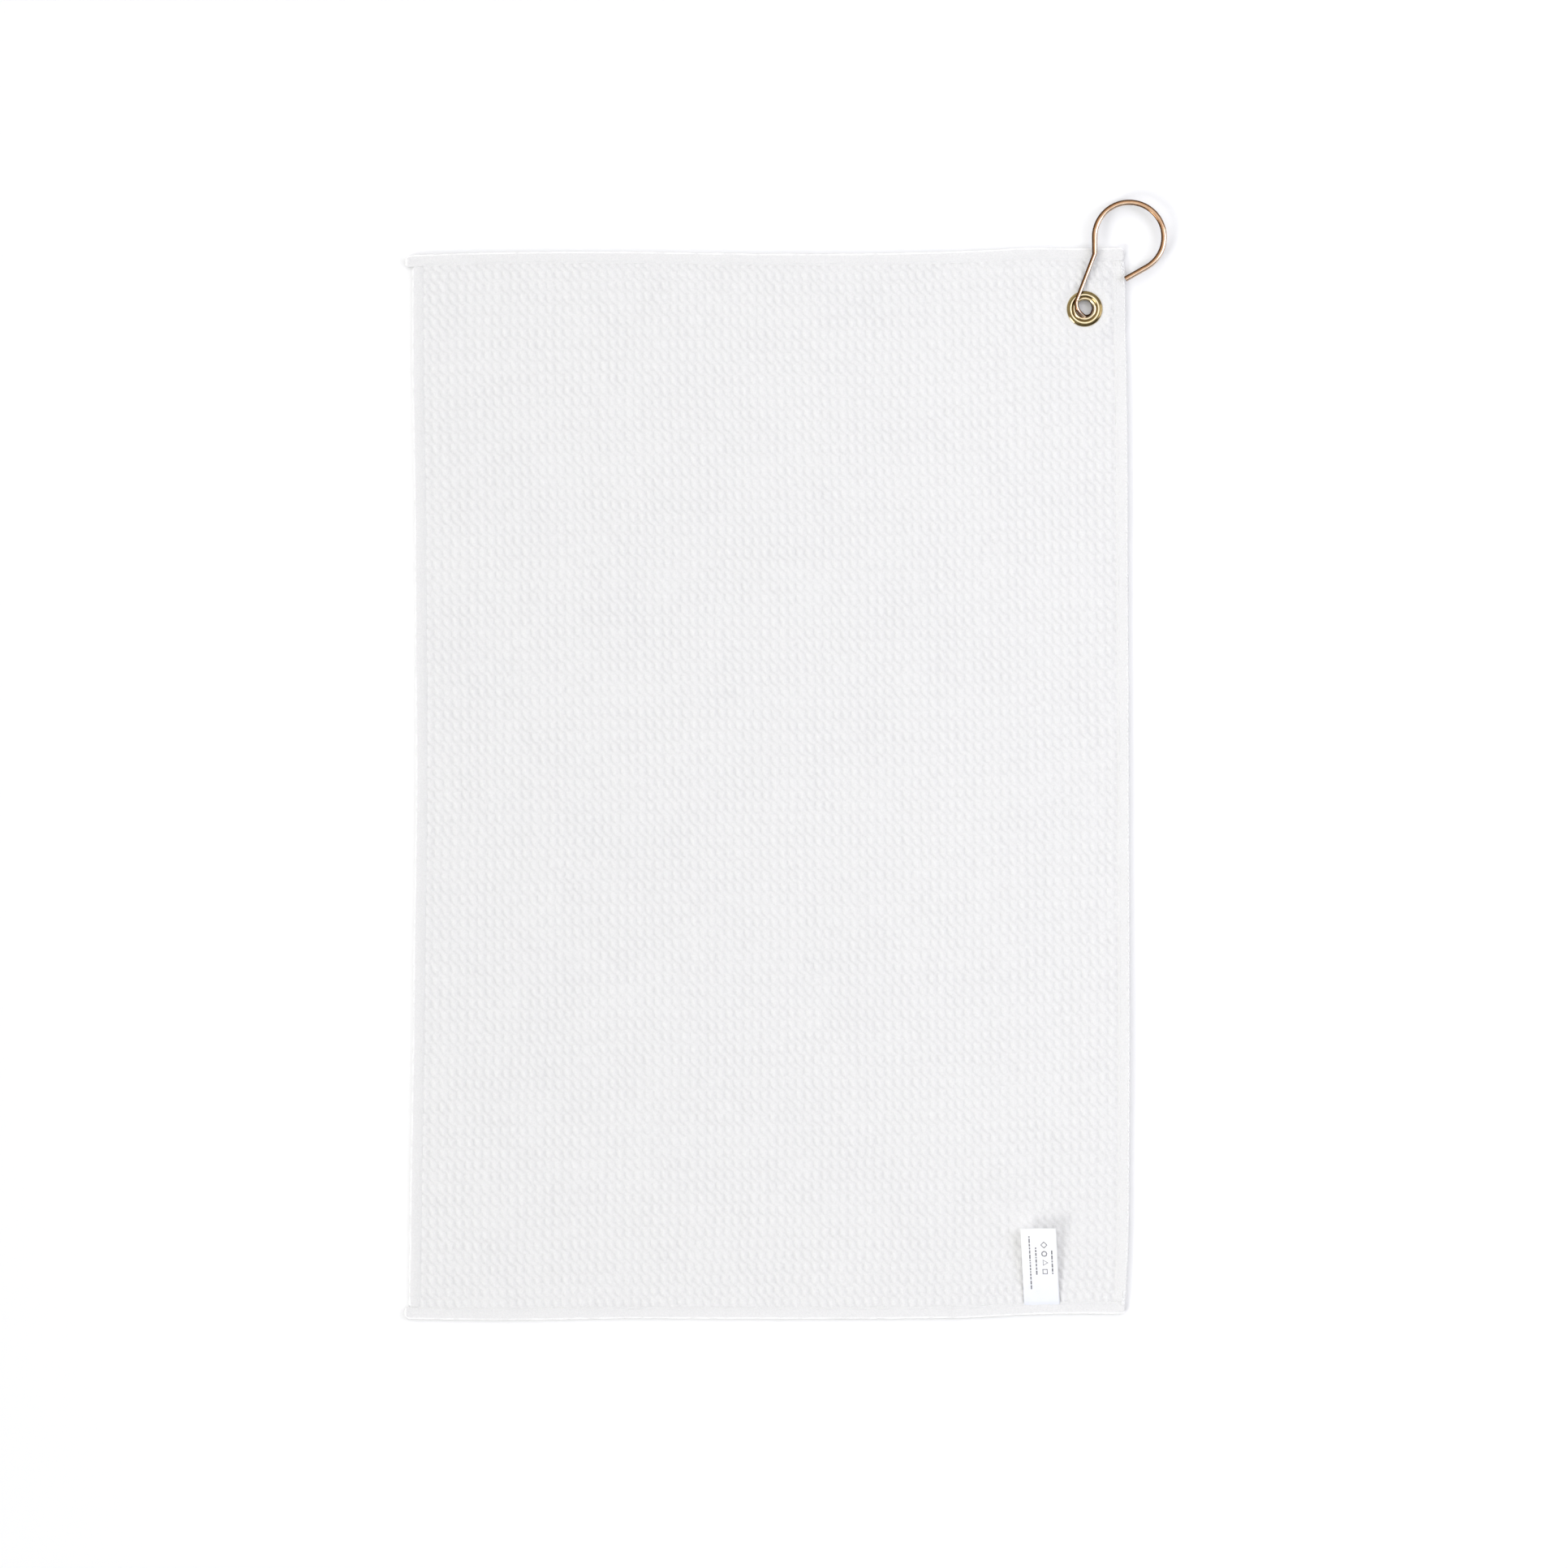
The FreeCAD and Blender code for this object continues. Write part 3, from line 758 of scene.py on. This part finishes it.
def thread_material(name, low, high):
    """Twisted white polyester thread."""
    material, nodes, links, shader = new_material(name)
    shader.inputs["Sheen Weight"].default_value = 0.1
    space = object_space(nodes, links)
    twist = pattern(nodes, links, space, WAVE, Scale=900.0, Distortion=0.6, Detail=1.0,
                    bands_direction="DIAGONAL")
    hairs = pattern(nodes, links, space, NOISE, Scale=3800.0, Detail=3.0)
    tone = ramp(nodes, links, twist, ((0.0, (low, low, low)), (0.6, (high, high, high))))
    links.new(tone, shader.inputs["Base Color"])
    links.new(remap(nodes, links, hairs, (0.0, 1.0), (0.5, 0.75)), shader.inputs["Roughness"])
    stack_bumps(nodes, links, shader, [(twist, 0.6, 0.00008), (hairs, 0.4, 0.00004)])
    return material


def ribbon_material():
    """White satin ribbon with fine ribs and a faint cool cast towards its foot."""
    material, nodes, links, shader = new_material("label_ribbon")
    shader.inputs["Sheen Weight"].default_value = 0.15
    shader.inputs["Sheen Roughness"].default_value = 0.35
    space = object_space(nodes, links)
    ribs = pattern(nodes, links, space, WAVE, Scale=1300.0, Distortion=0.3, Detail=1.0,
                   bands_direction="Y")
    cross = pattern(nodes, links, space, WAVE, Scale=1600.0, Distortion=0.3, Detail=1.0,
                    bands_direction="X")
    mottle = pattern(nodes, links, space, NOISE, Scale=180.0, Detail=3.0)
    apart = nodes.new("ShaderNodeSeparateXYZ")
    links.new(space, apart.inputs["Vector"])
    up_from_foot = remap(nodes, links, apart.outputs["Y"], (-0.298, -0.268))
    tone = ramp(nodes, links, up_from_foot, (
        (0.0, (0.86, 0.885, 0.945)), (0.6, (0.93, 0.93, 0.95)), (1.0, (0.96, 0.96, 0.955))))
    patchy = ramp(nodes, links, mottle, ((0.3, (0.975, 0.975, 0.98)), (0.7, (1, 1, 1))))
    links.new(multiply_colors(nodes, links, tone, patchy), shader.inputs["Base Color"])
    links.new(remap(nodes, links, mottle, (0.0, 1.0), (0.42, 0.6)), shader.inputs["Roughness"])
    stack_bumps(nodes, links, shader, [(ribs, 0.35, 0.00003), (cross, 0.25, 0.00002)])
    return material


def ink_material():
    """Grey print, slightly uneven."""
    material, nodes, links, shader = new_material("label_ink")
    shader.inputs["Roughness"].default_value = 0.7
    patches = pattern(nodes, links, object_space(nodes, links), NOISE, Scale=1500.0, Detail=3.0)
    tone = ramp(nodes, links, patches, ((0.35, (0.10, 0.10, 0.115)), (0.7, (0.32, 0.32, 0.35))))
    links.new(tone, shader.inputs["Base Color"])
    return material


def metal_base(name, low, high, drawn):
    """Polished metal with faint scratches and uneven tarnish; gives back the tarnish pattern too."""
    material, nodes, links, shader = new_material(name)
    shader.inputs["Metallic"].default_value = 1.0
    space = object_space(nodes, links)
    stretched = object_space(nodes, links, drawn)
    tarnish = pattern(nodes, links, space, NOISE, Scale=240.0, Detail=4.0, Roughness=0.6)
    fine = pattern(nodes, links, space, NOISE, Scale=2200.0, Detail=3.0, Roughness=0.6)
    scratches = pattern(nodes, links, stretched, NOISE, Scale=900.0, Detail=2.0, Roughness=0.5)
    links.new(remap(nodes, links, fine, (0.3, 0.75), (low, high)), shader.inputs["Roughness"])
    stack_bumps(nodes, links, shader, [(tarnish, 0.08, 0.0002), (scratches, 0.10, 0.00003)])
    return material, nodes, links, shader, space, tarnish


def brass_material():
    """Pale brass with painted highlights on its crest rings and a painted dark olive-brown reflection in a
    ring between them, set by the distance from the grommet's centre, over an uneven tarnish.
    """
    material, nodes, links, shader, space, tarnish = metal_base("grommet_brass", 0.10, 0.20, (1, 1, 9))
    centre = node(nodes, "ShaderNodeCombineXYZ", X=GX * MM, Y=GY * MM)
    flat = node(nodes, "ShaderNodeVectorMath", operation="MULTIPLY")
    flat.inputs[1].default_value = (1, 1, 0)
    away = node(nodes, "ShaderNodeVectorMath", operation="DISTANCE")
    links.new(space, flat.inputs[0])
    links.new(flat.outputs["Vector"], away.inputs[0])
    links.new(centre.outputs["Vector"], away.inputs[1])
    radius = remap(nodes, links, away.outputs["Value"], (4.5 * MM, 10.5 * MM))
    painted_highlight, mid, painted_dark_reflection = (0.86, 0.74, 0.51), (0.30, 0.22, 0.09), (0.085, 0.062, 0.022)
    # painted highlight rings and painted dark reflection rings, by distance from the grommet's centre
    rings = ramp(nodes, links, radius, (
        (0.0, mid), (0.16, painted_highlight), (0.30, painted_highlight), (0.40, mid), (0.50, mid), (0.56, painted_highlight),
        (0.62, painted_highlight), (0.69, painted_dark_reflection), (0.86, mid), (0.93, painted_highlight)))
    worn = ramp(nodes, links, tarnish, ((0.3, (0.80, 0.76, 0.70)), (0.6, (1, 1, 1))))
    links.new(multiply_colors(nodes, links, rings, worn), shader.inputs["Base Color"])
    return material


def copper_material():
    """Copper-coloured wire, with painted light on the flank that faces up, right and towards the bottom, and
    painted shade on the other.
    """
    material, nodes, links, shader, _, tarnish = metal_base("hook_copper", 0.12, 0.24, (1, 1, 6))
    shader.inputs["Specular Tint"].default_value = (0.35, 0.22, 0.12, 1)
    # painted light and shade: the base colour runs from dark brown to pale peach as the surface turns towards
    # this direction
    where = nodes.new("ShaderNodeTexCoord")
    light_facing = node(nodes, "ShaderNodeVectorMath", operation="DOT_PRODUCT")
    light_facing.inputs[1].default_value = (0.42, -0.36, 0.83)
    links.new(where.outputs["Normal"], light_facing.inputs[0])
    painted_flank_light = ramp(nodes, links, light_facing.outputs["Value"], (
        (0.30, (0.11, 0.055, 0.022)), (0.60, (0.17, 0.085, 0.038)), (0.76, (0.38, 0.22, 0.12)),
        (0.87, (0.66, 0.45, 0.30)), (0.96, (1.0, 0.83, 0.68))))
    worn = ramp(nodes, links, tarnish, ((0.3, (0.78, 0.72, 0.68)), (0.6, (1, 1, 1))))
    links.new(multiply_colors(nodes, links, painted_flank_light, worn), shader.inputs["Base Color"])
    return material


# ---------------------------------------------------------------- put together

cloth_white = cloth_material("towel_cloth", (0.872, 0.867, 0.857), 0.085, 0.035, 1.0)
hem_white = cloth_material("hem_cloth", (0.852, 0.847, 0.837), 0.0, 0.21, 0.8)
seam_thread = thread_material("seam_thread", 0.78, 0.86)
edge_thread = thread_material("edge_thread", 0.88, 0.98)
ribbon_white = ribbon_material()
ink_grey = ink_material()
brass = brass_material()
copper = copper_material()

cloth = build_cloth(cloth_white)
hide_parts("towel_panel")
hems = []
for side in SIDES:
    hem = build_hem(side, hem_white)
    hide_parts("hem_" + side)
    hems.append(hem)
seams = build_seams(seam_thread, edge_thread)
tacks = [build_tack("tack_stitches_bottom_right", "tack_bottom_right", 5.0, 8.2, 201, edge_thread),
         build_tack("tack_stitches_top_right", "tack_top_right", 2 * HALF_L - 14.6, 7.4, 202, edge_thread)]
for piece in [cloth] + hems:
    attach(piece, "towel")
for piece in seams + tacks:
    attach(piece, "towel")

label = build_label(ribbon_white)
marks = build_marks(ink_grey)
for piece in (label, marks):
    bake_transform(piece)

for name in ("grommet_eyelet", "grommet_washer"):
    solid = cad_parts[name]
    solid.data.materials.clear()
    solid.data.materials.append(brass)

hook = build_hook(copper)
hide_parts("hook_wire")
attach(hook, "hook")


# ---------------------------------------------------------------- floor, light and camera

def build_floor():
    """The pale studio floor, just under the towel."""
    material, _, _, shader = new_material("floor")
    shader.inputs["Base Color"].default_value = (0.935, 0.935, 0.935, 1)
    shader.inputs["Roughness"].default_value = 0.9
    shader.inputs["Specular IOR Level"].default_value = 0.1
    half = 6000
    points = [(-half, -half, -0.1), (half, -half, -0.1), (half, half, -0.1), (-half, half, -0.1)]
    make_mesh("floor", points, [np.array([[0, 1, 2, 3]])], material, smooth=False)


def build_world():
    """Grey surroundings for the metals to reflect: pale up to just above the horizon, dark overhead."""
    world = bpy.data.worlds.new("studio")
    bpy.context.scene.world = world
    world.use_nodes = True
    nodes, links = world.node_tree.nodes, world.node_tree.links
    background = nodes["Background"]
    where = nodes.new("ShaderNodeTexCoord")
    apart = nodes.new("ShaderNodeSeparateXYZ")
    links.new(where.outputs["Generated"], apart.inputs["Vector"])
    tone = ramp(nodes, links, apart.outputs["Z"], (
        (0.0, (0.8, 0.8, 0.8)), (0.30, (0.6, 0.6, 0.6)), (0.48, (0.12, 0.12, 0.12)),
        (1.0, (0.16, 0.16, 0.16))))
    links.new(tone, background.inputs["Color"])
    background.inputs["Strength"].default_value = 1.0


def aim(light, place):
    """Put a light at a place and turn it towards the origin."""
    light.location = place
    light.rotation_mode = "QUATERNION"
    light.rotation_quaternion = light.location.normalized().to_track_quat("Z", "Y")
    bpy.context.scene.collection.objects.link(light)


def area_light(name, place, power, width, height, color):
    """A soft rectangular light; its power is in watts."""
    data = bpy.data.lights.new(name, "AREA")
    data.shape = "RECTANGLE"
    data.size, data.size_y = width, height
    data.energy = power
    data.color = color
    aim(bpy.data.objects.new(name, data), place)


def sun_light(name, place, power, spread):
    """An even light from far away; spread is its apparent width in degrees."""
    data = bpy.data.lights.new(name, "SUN")
    data.energy = power
    data.angle = math.radians(spread)
    aim(bpy.data.objects.new(name, data), place)


def build_camera():
    """A long lens straight above the towel, at the height where it sees frame_width metres across."""
    data = bpy.data.cameras.new("camera")
    data.lens = 120.0
    data.sensor_width = 36.0
    camera = bpy.data.objects.new("camera", data)
    bpy.context.scene.collection.objects.link(camera)
    frame_width = 0.8965
    camera.location = (0.0081, 0.0005, frame_width * data.lens / data.sensor_width)
    data.clip_start, data.clip_end = 0.1, 50
    bpy.context.scene.camera = camera


build_floor()
build_world()
sun_light("key", (-0.64, -0.52, 0.58), 1.0, 22)
sun_light("overhead", (-0.12, 0.25, 1.0), 1.9, 88)
area_light("softbox_right", (1.6, 0.25, 1.5), 12.5, 1.1, 1.1, (0.85, 0.86, 1.0))
build_camera()
bpy.context.scene.view_settings.view_transform = "Standard"
